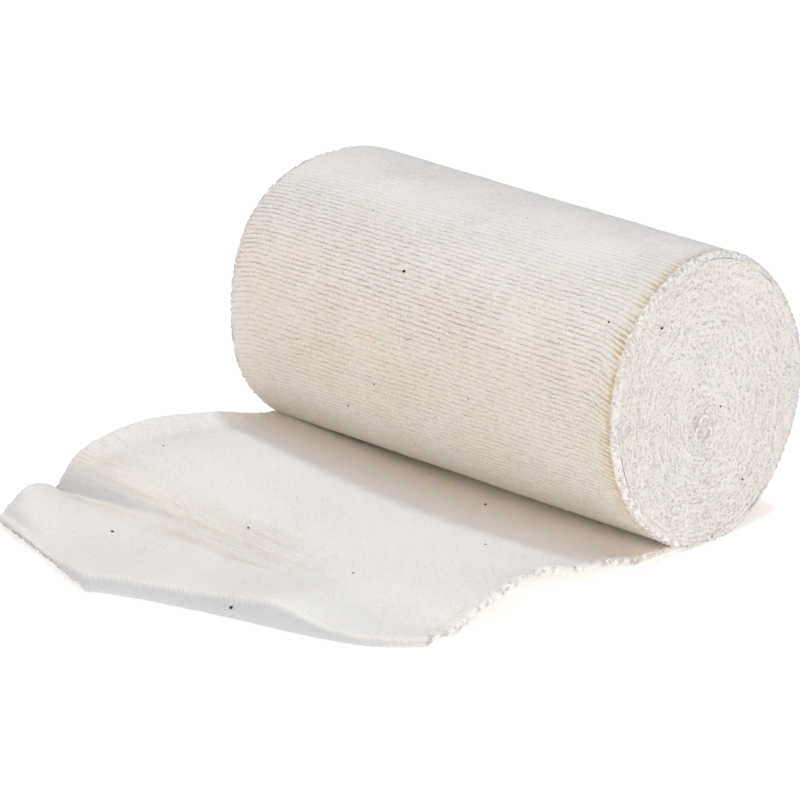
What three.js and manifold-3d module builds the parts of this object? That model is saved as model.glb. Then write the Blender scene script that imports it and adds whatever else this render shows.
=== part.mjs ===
// Short stretch bandage: one strip of crimped cotton cloth, wound on itself across its whole width.
// Its loose end lies in front on the surface, humped and creased, with one corner turned under.
// Millimetres. X runs along the roll, Z is up, and the loose end runs towards -Y.
// The origin lies on the surface, under the middle of the roll.

import * as THREE from 'three';
import { mergeVertices } from 'three/addons/utils/BufferGeometryUtils.js';
import Module from 'manifold-3d';

// Driving dimensions of the cloth and of the roll
const CLOTH_WIDTH = 100;
const CLOTH_THICK = 1.7;

// The roll at its far and near ends: half sizes across and up, the place of its middle, and how square
// its outline is (2 is round). Its lowest line is pressed flat in the cloth that runs out under it.
const ROLL_FAR = { depth: 27.4, height: 27.1, middleY: 0.1, middleZ: 27.6, square: 2.25 };
const ROLL_NEAR = { depth: 27.3, height: 28.1, middleY: 0.4, middleZ: 27.6, square: 1.92 };
const PRESSED_FLAT_Z = 0.4;

// Heart of the winding, low in the roll because the upper turns lie looser
const HEART_Y = -2.0;
const HEART_Z = 23.1;

// Main turns that show as a spiral of low steps on each end, as shares of the way out from the heart
const MAIN_TURNS = 7;
const RIM_SHARE = 0.965;
const OUTER_TURN_SHARE = 0.93;
const INNER_TURN_SHARE = 0.07;
const TURN_GROOVE = 0.4;

// How unevenly the turns end: the depth, the waves once round and the waves from rim to heart
const TURN_UNEVEN = { depth: 0.2, round: 3, inward: 3.7 };

// How far the near end face leans, per millimetre across and per millimetre up, and how quickly the
// lean dies away along the roll
const NEAR_LEAN = { across: -0.035, up: -0.05, power: 4 };

const SECTORS = 56;
const FULL_TURN = 2 * Math.PI;
const BOTTOM_ANGLE = -Math.PI / 2;
const HALF_WIDTH = CLOTH_WIDTH / 2;

// The turns don't stack quite true, so each end of the roll stands a little past the cloth's width.
const ROLL_HALF_LENGTH = HALF_WIDTH + 0.3;

// Sections along the roll: the place along X and how far the surface stands in from its full size
const ROLL_SECTIONS = [
  { x: -49.8, inset: 0.7 },
  { x: -49.0, inset: 0.15 },
  { x: -46.0, inset: 0.0 },
  { x: -40.0, inset: 0.05 },
  { x: -26.0, inset: 0.15 },
  { x: -12.0, inset: 0.0 },
  { x: 2.0, inset: 0.15 },
  { x: 16.0, inset: 0.0 },
  { x: 30.0, inset: 0.15 },
  { x: 40.0, inset: 0.0 },
  { x: 46.0, inset: 0.0 },
  { x: 49.0, inset: 0.1 },
  { x: 49.8, inset: 0.7 },
];

// Slow swellings round the roll: how many, how high, where they start and how they drift along X
const ROLL_SWELLINGS = [
  { count: 3, height: 0.16, start: 0.6, drift: 0.012 },
  { count: 5, height: 0.1, start: 2.1, drift: -0.02 },
];

// Places across the loose end, from selvedge to selvedge, at which each section gives its height
const PLACES_ACROSS = [-50, -45, -30, -13, 8, 32, 42, 50];

// Sections of the loose end, from under the roll to the cut end. A row gives where the section meets
// the far and near selvedges, how far its middle runs ahead of them, and then how high the underside
// stands above the surface at each of the places across.
const LOOSE_END_COLUMNS = ['farY', 'nearY', 'ahead', 'heights'];
const LOOSE_END_ROWS = [
  [8.0, 8.0, 0, [2.1, 2.1, 2.1, 2.1, 2.1, 2.1, 2.1, 2.1]],
  [5.0, 5.0, 0, [0.7, 0.7, 0.7, 0.7, 0.7, 0.7, 0.7, 0.7]],
  [2.5, 2.5, 0, [0, 0, 0, 0, 0, 0, 0, 0]],
  [-7.0, -7.0, 0, [0, 0, 0, 0, 0, 0, 0, 0]],
  [-13.0, -14.0, 0, [2.2, 1.9, 0.9, 0.2, 0, 0, 0, 0]],
  [-19.0, -20.0, 0, [3.0, 2.6, 1.5, 0.6, 0.2, 0.3, 0.3, 0.4]],
  [-26.0, -27.0, 0, [4.7, 4.0, 2.6, 1.3, 0.7, 1.0, 1.4, 2.1]],
  [-36.0, -35.0, 0, [7.1, 6.1, 4.4, 2.6, 1.7, 1.9, 2.3, 2.9]],
  [-46.0, -43.0, 0, [8.9, 7.9, 6.1, 3.8, 2.7, 2.9, 3.8, 5.1]],
  [-53.0, -50.0, 0, [9.3, 8.6, 7.0, 4.5, 3.1, 3.0, 3.6, 5.2]],
  [-60.0, -57.0, 0, [8.8, 8.6, 7.0, 4.5, 3.0, 2.7, 2.8, 3.6]],
  [-66.5, -63.5, 0, [7.2, 7.5, 6.3, 4.1, 2.8, 2.4, 2.2, 2.0]],
  [-70.4, -68.0, 0, [4.2, 5.0, 4.7, 3.4, 2.5, 2.3, 2.1, 1.3]],
  [-72.6, -71.0, 0, [1.4, 1.9, 2.8, 2.8, 2.4, 2.5, 2.1, 1.2]],
  [-75.0, -73.0, 4, [3.4, 2.7, 2.0, 2.3, 2.4, 3.1, 2.1, 1.3]],
  [-79.5, -75.0, 9, [4.5, 3.8, 2.1, 2.0, 2.6, 3.9, 2.2, 1.7]],
  [-83.5, -76.6, 12.5, [2.3, 2.5, 1.3, 1.9, 2.7, 4.3, 2.3, 2.0]],
  [-86.0, -78.0, 14.2, [0.5, 0.8, 0.4, 1.9, 2.5, 4.3, 2.3, 2.1]],
];
const ROW_STEPS = 2;

// Front of the loose end. From its point towards the near selvedge the cloth turns under in a round
// fold, and the turned corner lies flat beneath with its tip pointing back.
const FRONT = { farY: -87.4, nearY: -78.8, ahead: 14.8, pointX: -13, reach: 1.45 };
const CUT_EDGE_SETBACK = 0.8;
const FOLD_ANGLES = [60, 30, 0];
const UNDERFOLD_ANGLES = [-45, -90];
const TURNED_TIP = { x: 26, y: -47, breadth: 3 };
const TURNED_SHARES = [0.3, 0.62, 0.94];
const COLUMNS_TO_POINT = 10;
const COLUMNS_TO_NEAR = 17;

// A smooth curve through values that are given at rising places.
function through(places, values, at) {
  let i = 0;
  while (i < places.length - 2 && at > places[i + 1]) i += 1;
  const span = places[i + 1] - places[i];
  const slopeAt = (k) => {
    const before = Math.max(k - 1, 0);
    const after = Math.min(k + 1, places.length - 1);
    return (values[after] - values[before]) / (places[after] - places[before]);
  };
  const t = (at - places[i]) / span;
  const easeIn = t * t * (3 - 2 * t);
  return values[i] * (1 - easeIn) + values[i + 1] * easeIn
    + slopeAt(i) * span * t * (1 - t) * (1 - t)
    - slopeAt(i + 1) * span * t * t * (1 - t);
}

// Indexed points and triangles of one closed body.
class Shell {
  constructor() {
    this.points = [];
    this.triangles = [];
  }

  add(x, y, z) {
    this.points.push(x, y, z);
    return this.points.length / 3 - 1;
  }

  quad(a, b, c, d) {
    this.triangles.push(a, b, c, a, c, d);
  }

  geometry() {
    const body = new THREE.BufferGeometry();
    body.setAttribute('position', new THREE.Float32BufferAttribute(this.points, 3));
    body.setIndex(this.triangles);
    return body;
  }
}

// Angle round the roll at a sector, from the bottom towards +Y, where the cloth winds up and inwards.
function sectorAngle(sector) {
  return BOTTOM_ANGLE + (sector / SECTORS) * FULL_TURN;
}

// Outline of the roll in a section across it: angle 0 points to +Y and a quarter turn points up.
function rollOutline(angle, x, inset) {
  const share = (x + HALF_WIDTH) / CLOTH_WIDTH;
  const size = (name) => ROLL_FAR[name] + (ROLL_NEAR[name] - ROLL_FAR[name]) * share;
  let stand = -inset;
  for (const swelling of ROLL_SWELLINGS) {
    stand += swelling.height * Math.sin(swelling.count * angle + swelling.start + swelling.drift * x);
  }
  const bend = (value) => Math.sign(value) * Math.abs(value) ** (2 / size('square'));
  const y = size('middleY') + (size('depth') + stand) * bend(Math.cos(angle));
  const z = size('middleZ') + (size('height') + stand) * bend(Math.sin(angle));
  return { y, z: Math.max(z, PRESSED_FLAT_Z) };
}

// How far a point near the near end is carried along X by the lean of that face.
function nearLean(x, y, z) {
  const share = (Math.max(x, 0) / HALF_WIDTH) ** NEAR_LEAN.power;
  return share * (NEAR_LEAN.across * y + NEAR_LEAN.up * (z - ROLL_NEAR.middleZ));
}

// One end of the roll: from the rim ring to the heart, along a spiral with a groove and a crown to
// each main turn. side is 1 at the near end and -1 at the far one.
function addRollEnd(shell, side, rimRing, rimInset) {
  const pointAt = (share, sector, depth) => {
    const angle = sectorAngle(sector);
    const outer = rollOutline(angle, side * HALF_WIDTH, rimInset);
    const y = HEART_Y + (outer.y - HEART_Y) * share;
    const z = HEART_Z + (outer.z - HEART_Z) * share;
    const wave = Math.sin(TURN_UNEVEN.round * angle + TURN_UNEVEN.inward * FULL_TURN * share);
    const uneven = TURN_UNEVEN.depth * Math.abs(wave) * Math.sin(Math.PI * share);
    const x = side * (ROLL_HALF_LENGTH - depth - uneven);
    return shell.add(x + nearLean(x, y, z), y, z);
  };
  const face = (a, b, c, d) => (side > 0 ? shell.quad(a, b, c, d) : shell.quad(d, c, b, a));
  const corner = (a, b, c) => shell.triangles.push(...(side > 0 ? [a, b, c] : [c, b, a]));

  const outerRing = [];
  for (let j = 0; j < SECTORS; j += 1) outerRing.push(pointAt(RIM_SHARE, j, 0));
  for (let j = 0; j < SECTORS; j += 1) {
    const next = (j + 1) % SECTORS;
    face(rimRing[j], rimRing[next], outerRing[next], outerRing[j]);
  }

  const arms = 2 * MAIN_TURNS;
  const armStep = (OUTER_TURN_SHARE - INNER_TURN_SHARE) / (arms + 2);
  const spiral = [];
  for (let k = 0; k < arms; k += 1) {
    for (let j = 0; j < SECTORS; j += 1) {
      const share = OUTER_TURN_SHARE - (k + (2 * j) / SECTORS) * armStep;
      spiral.push(pointAt(share, j, k % 2 === 0 ? TURN_GROOVE : 0));
    }
  }
  for (const k of [arms, arms + 1]) {
    spiral.push(pointAt(OUTER_TURN_SHARE - k * armStep, 0, k % 2 === 0 ? TURN_GROOVE : 0));
  }
  const armPoint = (k, j) => {
    const arm = j === SECTORS ? k + 2 : k;
    const sector = j % SECTORS;
    return arm < arms ? spiral[arm * SECTORS + sector] : spiral[arms * SECTORS + arm - arms];
  };

  corner(outerRing[0], armPoint(0, 0), armPoint(1, 0));
  corner(outerRing[0], armPoint(1, 0), armPoint(2, 0));
  for (let j = 0; j < SECTORS; j += 1) {
    face(outerRing[j], outerRing[(j + 1) % SECTORS], armPoint(0, j + 1), armPoint(0, j));
    for (let k = 0; k < arms - 1; k += 1) {
      face(armPoint(k, j), armPoint(k, j + 1), armPoint(k + 1, j + 1), armPoint(k + 1, j));
    }
  }

  const heart = pointAt(0, 0, TURN_GROOVE);
  for (let j = 0; j < SECTORS; j += 1) {
    corner(armPoint(arms - 1, j), armPoint(arms - 1, j + 1), heart);
  }
  corner(armPoint(arms + 1, 0), armPoint(arms, 0), heart);
  corner(armPoint(arms, 0), armPoint(arms - 1, 0), heart);
}

function makeRoll() {
  const shell = new Shell();
  const rings = ROLL_SECTIONS.map(({ x, inset }) => {
    const ring = [];
    for (let j = 0; j < SECTORS; j += 1) {
      const { y, z } = rollOutline(sectorAngle(j), x, inset);
      ring.push(shell.add(x + nearLean(x, y, z), y, z));
    }
    return ring;
  });
  for (let i = 0; i < rings.length - 1; i += 1) {
    for (let j = 0; j < SECTORS; j += 1) {
      const next = (j + 1) % SECTORS;
      shell.quad(rings[i][j], rings[i][next], rings[i + 1][next], rings[i + 1][j]);
    }
  }
  addRollEnd(shell, 1, rings.at(-1), ROLL_SECTIONS.at(-1).inset);
  addRollEnd(shell, -1, rings[0], ROLL_SECTIONS[0].inset);
  return shell.geometry();
}

// Share of a section's lead at a place across the cloth: full at the point and none at a selvedge.
function leadShare(x) {
  const past = x - FRONT.pointX;
  if (past < 0) return 1 + past / (FRONT.pointX + HALF_WIDTH);
  return 1 - (past / (HALF_WIDTH - FRONT.pointX)) ** FRONT.reach;
}

function acrossSection(section, x) {
  const share = (x + HALF_WIDTH) / CLOTH_WIDTH;
  return section.farY + (section.nearY - section.farY) * share - section.ahead * leadShare(x);
}

// Section of the loose end at a place along the table, between rows too.
function sectionAt(along) {
  const rows = LOOSE_END_ROWS.map((_, i) => i);
  const column = (name) => LOOSE_END_ROWS.map((row) => row[LOOSE_END_COLUMNS.indexOf(name)]);
  const heights = column('heights');
  return {
    farY: through(rows, column('farY'), along),
    nearY: through(rows, column('nearY'), along),
    ahead: through(rows, column('ahead'), along),
    heights: PLACES_ACROSS.map((_, k) => through(rows, heights.map((row) => row[k]), along)),
  };
}

function placesAcross() {
  const places = [];
  for (let j = 0; j < COLUMNS_TO_POINT; j += 1) {
    places.push(-HALF_WIDTH + ((FRONT.pointX + HALF_WIDTH) * j) / COLUMNS_TO_POINT);
  }
  for (let j = 0; j <= COLUMNS_TO_NEAR; j += 1) {
    places.push(FRONT.pointX + ((HALF_WIDTH - FRONT.pointX) * j) / COLUMNS_TO_NEAR);
  }
  return places;
}

// Rows of points through the middle of the cloth's thickness, from under the roll to the turned tip.
function looseEndRows() {
  const places = placesAcross();
  const halfThick = CLOTH_THICK / 2;
  const rows = [];
  for (let i = 0; i <= (LOOSE_END_ROWS.length - 1) * ROW_STEPS; i += 1) {
    const section = sectionAt(i / ROW_STEPS);
    rows.push(places.map((x) => {
      const under = Math.max(through(PLACES_ACROSS, section.heights, x), 0);
      return new THREE.Vector3(x, acrossSection(section, x), under + halfThick);
    }));
  }

  const top = sectionAt(LOOSE_END_ROWS.length - 1);
  const foldPoint = (x, degrees) => {
    const under = Math.max(through(PLACES_ACROSS, top.heights, x), 0);
    const turn = THREE.MathUtils.degToRad(degrees);
    const turned = x >= FRONT.pointX;
    const setback = turned ? under / 2 : CUT_EDGE_SETBACK;
    const rise = turned ? (under * (1 + Math.sin(turn))) / 2 : under * Math.sin(turn);
    return new THREE.Vector3(x, acrossSection(FRONT, x) + setback * (1 - Math.cos(turn)), rise + halfThick);
  };
  for (const degrees of FOLD_ANGLES) rows.push(places.map((x) => foldPoint(x, degrees)));

  const turned = places.filter((x) => x >= FRONT.pointX);
  for (const degrees of UNDERFOLD_ANGLES) rows.push(turned.map((x) => foldPoint(x, degrees)));
  const foldFoot = rows.at(-1);
  for (const share of TURNED_SHARES) {
    rows.push(foldFoot.map((foot, j) => {
      const along = j / (foldFoot.length - 1) - 0.5;
      const tip = new THREE.Vector3(TURNED_TIP.x + along * TURNED_TIP.breadth, TURNED_TIP.y, halfThick);
      return foot.clone().lerp(tip, share);
    }));
  }
  return rows;
}

// A sheet of even thickness on rows of points. A short row lines up with the ends of the long ones.
function sheetOn(rows, thick) {
  const points = rows.flat();
  const starts = [];
  rows.reduce((start, row) => {
    starts.push(start);
    return start + row.length;
  }, 0);

  const cells = [];
  for (let i = 0; i < rows.length - 1; i += 1) {
    const skip = rows[i].length - rows[i + 1].length;
    for (let j = 0; j < rows[i + 1].length - 1; j += 1) {
      const a = starts[i] + skip + j;
      const b = starts[i + 1] + j;
      cells.push([a, b, b + 1, a + 1]);
    }
  }

  const normals = points.map(() => new THREE.Vector3());
  for (const [a, b, c, d] of cells) {
    const one = new THREE.Vector3().subVectors(points[c], points[a]);
    const other = new THREE.Vector3().subVectors(points[d], points[b]);
    const normal = one.cross(other);
    for (const k of [a, b, c, d]) normals[k].add(normal);
  }

  const shell = new Shell();
  for (const side of [1, -1]) {
    points.forEach((point, k) => {
      const out = normals[k].clone().normalize().multiplyScalar((side * thick) / 2);
      shell.add(point.x + out.x, point.y + out.y, Math.max(point.z + out.z, 0));
    });
  }
  const under = points.length;
  const edges = new Map();
  for (const [a, b, c, d] of cells) {
    shell.quad(a, b, c, d);
    shell.quad(under + d, under + c, under + b, under + a);
    for (const [from, to] of [[a, b], [b, c], [c, d], [d, a]]) {
      if (!edges.delete(`${to} ${from}`)) edges.set(`${from} ${to}`, [from, to]);
    }
  }
  for (const [from, to] of edges.values()) shell.quad(to, from, under + from, under + to);
  return shell.geometry();
}

const wasm = await Module();
wasm.setup();

function toSolid(geometry) {
  const merged = mergeVertices(geometry);
  return new wasm.Manifold(new wasm.Mesh({
    numProp: 3,
    vertProperties: new Float32Array(merged.attributes.position.array),
    triVerts: new Uint32Array(merged.index.array),
  }));
}

function toGeometry(solid) {
  const mesh = solid.getMesh();
  const geometry = new THREE.BufferGeometry();
  geometry.setAttribute('position', new THREE.Float32BufferAttribute(mesh.vertProperties, 3));
  geometry.setIndex([...mesh.triVerts]);
  geometry.computeVertexNormals();
  return geometry;
}

const cotton = new THREE.MeshStandardMaterial({ color: 0xe6ded2, roughness: 0.95, metalness: 0 });

const bandage = new THREE.Mesh(
  toGeometry(toSolid(makeRoll()).add(toSolid(sheetOn(looseEndRows(), CLOTH_THICK)))),
  cotton,
);
bandage.name = 'bandage';

const group = new THREE.Group();
group.add(bandage);

export default group;
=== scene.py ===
"""Short stretch bandage roll, dressed for rendering.

One strip of crimped cotton cloth is wound on itself, and its loose end lies in front of the roll,
humped and creased, with one corner turned under. Sizes in the tables are millimetres and the meshes
are in metres. X runs along the roll, Z is up and the loose end runs towards -Y.
"""

import logging
import math
from dataclasses import dataclass, field
from enum import Enum

import bmesh
import bpy
import numpy as np
from mathutils import Matrix, Vector


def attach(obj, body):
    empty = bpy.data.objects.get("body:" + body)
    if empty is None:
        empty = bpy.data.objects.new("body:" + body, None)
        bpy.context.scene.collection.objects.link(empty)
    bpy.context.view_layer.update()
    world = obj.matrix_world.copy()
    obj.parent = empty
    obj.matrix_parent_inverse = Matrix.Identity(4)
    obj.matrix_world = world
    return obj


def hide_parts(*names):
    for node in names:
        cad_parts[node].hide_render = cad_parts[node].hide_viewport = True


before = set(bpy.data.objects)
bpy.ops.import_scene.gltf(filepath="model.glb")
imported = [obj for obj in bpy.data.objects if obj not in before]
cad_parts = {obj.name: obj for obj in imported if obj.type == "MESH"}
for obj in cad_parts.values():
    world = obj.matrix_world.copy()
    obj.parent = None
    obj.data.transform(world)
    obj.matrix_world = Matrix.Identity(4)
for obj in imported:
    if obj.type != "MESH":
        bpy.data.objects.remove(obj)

MM = 0.001
FULL_TURN = 2 * math.pi
CAD_NODE = "bandage"
BODY = "root"
CLOTH_WIDTH = 100.0
HALF_WIDTH = CLOTH_WIDTH / 2

# Small yarns below this height are pressed flat on the floor
PRESSED_BELOW = 0.1

Array = np.ndarray
Colour = tuple[float, float, float]
Socket = bpy.types.NodeSocket
log = logging.getLogger("bandage")


class End(Enum):
    """The two ends of the roll, and the two selvedges of the cloth, by their side along X."""

    NEAR = 1
    FAR = -1

    @property
    def label(self) -> str:
        """The word that the names of this end's pieces start with."""
        return self.name.lower()

    def way(self, count: int) -> Array:
        """The way that this end faces, as that many rows."""
        return np.tile([float(self.value), 0.0, 0.0], (count, 1))


class Waves:
    """Smooth random waves over a plane, the same on every run."""

    def __init__(self, seed: int, size: int = 512) -> None:
        """Draws the heights at the knots of the plane.

        Args:
            seed: the number that the heights are drawn from.
            size: how many knots lie along each side before the waves repeat.
        """
        self.knots = np.random.default_rng(seed).uniform(-1, 1, (size, size))

    def at(self, u: Array, v: Array) -> Array:
        """Reads the waves.

        Args:
            u: places along one way of the plane, in knots.
            v: places along the other way, in knots.

        Returns:
            The heights there, from -1 to 1.
        """
        size = len(self.knots)
        i, j = np.floor(u).astype(int), np.floor(v).astype(int)
        s, t = u - i, v - j
        s, t = s * s * (3 - 2 * s), t * t * (3 - 2 * t)
        knots = self.knots
        low = knots[i % size, j % size] * (1 - s) + knots[(i + 1) % size, j % size] * s
        high = knots[i % size, (j + 1) % size] * (1 - s) + knots[(i + 1) % size, (j + 1) % size] * s
        return low * (1 - t) + high * t


def through(places: Array, values: Array, at: Array) -> Array:
    """Follows a smooth curve through values that are given at rising places.

    Args:
        places: the rising places, n of them.
        values: the values there, on the last axis.
        at: the places to read, m of them.

    Returns:
        The values at the places asked for, on the last axis.
    """
    places, values, at = np.asarray(places, float), np.asarray(values, float), np.asarray(at, float)
    i = np.clip(np.searchsorted(places, at) - 1, 0, len(places) - 2)
    number = np.arange(len(places))
    before, after = np.maximum(number - 1, 0), np.minimum(number + 1, len(places) - 1)
    slopes = (values[..., after] - values[..., before]) / (places[after] - places[before])
    span = places[i + 1] - places[i]
    t = (at - places[i]) / span
    ease = t * t * (3 - 2 * t)
    return (
        values[..., i] * (1 - ease)
        + values[..., i + 1] * ease
        + slopes[..., i] * span * t * (1 - t) ** 2
        - slopes[..., i + 1] * span * t * t * (1 - t)
    )


def smooth_step(low: float, high: float, value: Array) -> Array:
    """Rises smoothly from 0 at low to 1 at high."""
    t = np.clip((value - low) / (high - low), 0, 1)
    return t * t * (3 - 2 * t)


def graded(low: float, high: float, step: float, edge_steps: tuple[float, ...]) -> Array:
    """Spaces out places between two edges, closer together at each edge.

    Args:
        low: the first place.
        high: the last place.
        step: the spacing away from the edges.
        edge_steps: the distances from an edge of the closer places, rising.

    Returns:
        The rising places.
    """
    first = [low + d for d in (0.0, *edge_steps)]
    last = [high - d for d in (0.0, *edge_steps)][::-1]
    count = max(int(round((last[0] - first[-1]) / step)), 1)
    middle = np.linspace(first[-1], last[0], count + 1)[1:-1]
    return np.concatenate([first, middle, last])


def unit(ways: Array) -> Array:
    """Brings each row to a length of one."""
    return ways / (np.linalg.norm(ways, axis=1, keepdims=True) + 1e-9)


def hump(at: Array, middle: float, spread: float) -> Array:
    """Rises to 1 at its middle and falls off evenly on both sides."""
    return np.exp(-(((at - middle) / spread) ** 2))


def flat_grid(columns: int, rows: int) -> bmesh.types.BMesh:
    """Starts a piece as a flat grid from 0 to 1 both ways, with that many faces along X and Y."""
    form = bmesh.new()
    bmesh.ops.create_grid(form, x_segments=columns, y_segments=rows, size=0.5)
    bmesh.ops.translate(form, verts=form.verts, vec=(0.5, 0.5, 0.0))
    return form


def mesh_of(name: str, form: bmesh.types.BMesh) -> bpy.types.Mesh:
    """Turns a bmesh into a mesh of that name, and frees it."""
    mesh = bpy.data.meshes.new(name)
    form.to_mesh(mesh)
    form.free()
    return mesh


def read_places(mesh: bpy.types.Mesh) -> Array:
    """Reads the places of a mesh's vertices, one row each."""
    places = np.empty(len(mesh.vertices) * 3, np.float32)
    mesh.vertices.foreach_get("co", places)
    return places.reshape(-1, 3).astype(float)


def set_places(mesh: bpy.types.Mesh, places: Array) -> None:
    """Moves a mesh's vertices to places in metres."""
    mesh.vertices.foreach_set("co", places.astype(np.float32).ravel())
    mesh.update()


def set_shade(mesh: bpy.types.Mesh, name: str, values: Array) -> None:
    """Keeps one number for each vertex, which the finish reads by that name."""
    kept = mesh.attributes.new(name, "FLOAT", "POINT")
    kept.data.foreach_set("value", values.astype(np.float32))


def set_cloth_map(mesh: bpy.types.Mesh, along: Array, across: Array) -> None:
    """Keeps where each vertex lies on the cloth, in metres, as the UV map that the weave follows."""
    layer = mesh.uv_layers.new(name="cloth")
    corners = np.empty(len(mesh.loops), np.int32)
    mesh.loops.foreach_get("vertex_index", corners)
    places = np.stack([along[corners], across[corners]], axis=1) * MM
    layer.uv.foreach_set("vector", places.astype(np.float32).ravel())


def merge_seam(mesh: bpy.types.Mesh, on_seam: Array) -> None:
    """Joins the vertices of a seam that lie on each other.

    Args:
        mesh: the mesh to close.
        on_seam: True for each vertex that lies on a seam.
    """
    form = bmesh.new()
    form.from_mesh(mesh)
    form.verts.ensure_lookup_table()
    seam = [form.verts[i] for i in np.flatnonzero(on_seam)]
    bmesh.ops.remove_doubles(form, verts=seam, dist=2e-6)
    form.to_mesh(mesh)
    form.free()


def show(mesh: bpy.types.Mesh, finish: bpy.types.Material, stands_for: bool = False) -> bpy.types.Object:
    """Puts a finished mesh in the scene as a piece of the bandage.

    Args:
        mesh: the mesh, in the row frame.
        finish: its material.
        stands_for: whether the piece stands for the solid of the bandage.

    Returns:
        The piece.
    """
    mesh.shade_smooth()
    mesh.materials.append(finish)
    piece = bpy.data.objects.new(mesh.name, mesh)
    bpy.context.scene.collection.objects.link(piece)
    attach(piece, BODY)
    if stands_for:
        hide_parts(CAD_NODE)
    return piece


def strew(name: str, form: bmesh.types.BMesh, places: Array, axes: Array, shade: Array) -> bpy.types.Mesh:
    """Joins many copies of one small shape into a mesh, pressed flat where they would go through the floor.

    Args:
        name: the name of the mesh.
        form: the small shape, in millimetres about its origin. It is freed.
        places: where each copy stands, in millimetres.
        axes: the three axes of each copy as rows, with their scale.
        shade: one number for each copy, kept as "relief".

    Returns:
        The mesh.
    """
    bmesh.ops.triangulate(form, faces=form.faces[:])
    bmesh.ops.recalc_face_normals(form, faces=form.faces[:])
    form.verts.index_update()
    corners = np.array([v.co[:] for v in form.verts])
    faces = np.array([[v.index for v in f.verts] for f in form.faces])
    form.free()
    co = places[:, None, :] + np.einsum("vk,nkc->nvc", corners, axes)
    below = np.minimum(co[..., 2] / PRESSED_BELOW - 1, 0)
    co[..., 2] = np.where(below < 0, PRESSED_BELOW * np.exp(below), co[..., 2])
    index = faces[None, :, :] + (np.arange(len(places)) * len(corners))[:, None, None]
    mesh = bpy.data.meshes.new(name)
    mesh.vertices.add(co.shape[0] * co.shape[1])
    mesh.loops.add(index.size)
    mesh.polygons.add(index.shape[0] * index.shape[1])
    mesh.vertices.foreach_set("co", (co * MM).astype(np.float32).ravel())
    mesh.loops.foreach_set("vertex_index", index.astype(np.int32).ravel())
    mesh.polygons.foreach_set("loop_start", np.arange(0, index.size, 3, dtype=np.int32))
    mesh.update(calc_edges=True)
    set_shade(mesh, "relief", np.repeat(shade, len(corners)))
    set_cloth_map(mesh, np.zeros(len(mesh.vertices)), np.zeros(len(mesh.vertices)))
    return mesh


def arch(
    radius: float, wire: float, degrees: float = 180, steps: int = 4, sides: int = 3
) -> bmesh.types.BMesh:
    """Bends a thin round yarn into an arch that stands on the XY plane and spans it along X.

    Args:
        radius: radius of the arch, in millimetres.
        wire: radius of the yarn, in millimetres.
        degrees: how far the yarn turns.
        steps: how many straight lengths it has.
        sides: how many sides the yarn has.

    Returns:
        The arch, closed at both feet.
    """
    form = bmesh.new()
    bmesh.ops.create_circle(form, segments=sides, radius=wire)
    bmesh.ops.translate(form, verts=form.verts, vec=(radius, 0, 0))
    bmesh.ops.spin(
        form,
        geom=form.verts[:] + form.edges[:],
        cent=(0, 0, 0),
        axis=(0, 1, 0),
        angle=-math.radians(degrees),
        steps=steps,
        use_merge=False,
        use_duplicate=False,
    )
    bmesh.ops.holes_fill(form, edges=form.edges[:], sides=sides)
    return form


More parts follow.
